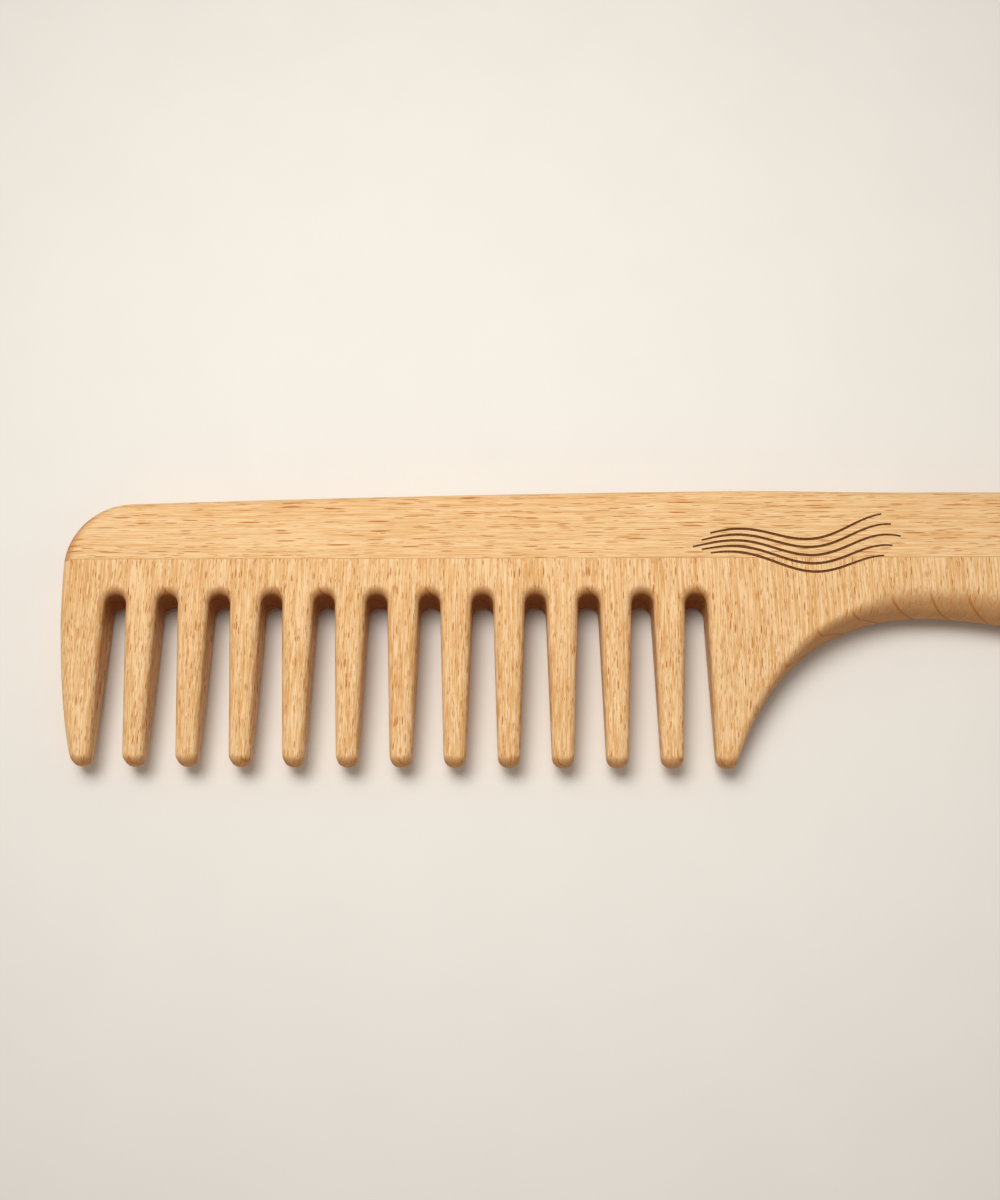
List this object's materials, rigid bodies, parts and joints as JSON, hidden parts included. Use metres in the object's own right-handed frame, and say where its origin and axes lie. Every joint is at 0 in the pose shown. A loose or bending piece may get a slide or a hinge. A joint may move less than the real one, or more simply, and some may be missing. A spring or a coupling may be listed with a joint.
{
  "type": "wide tooth comb",
  "caption": "Wooden handle comb with wide, blunt teeth, made of a lengthwise back rail glued to a toothed board whose grain runs along the teeth.",
  "frame": {"origin": "middle of the comb's outer box, on the plane of the rear face that it lies on", "axes": "+X from the head towards the end of the handle, +Y from the tooth tips towards the back edge, +Z out of the front face"},
  "size_m": [0.2074, 0.0488, 0.0095],
  "materials": {
    "rail_beech": "smooth sanded and lightly oiled",
    "board_beech": "smooth sanded and lightly oiled",
    "wood_glue": "dried glue film, dull"
  },
  "bodies": {
    "root": {"back_rail": "rail_beech", "tooth_board": "board_beech", "glue_line": "wood_glue"}
  },
  "joints": []
}
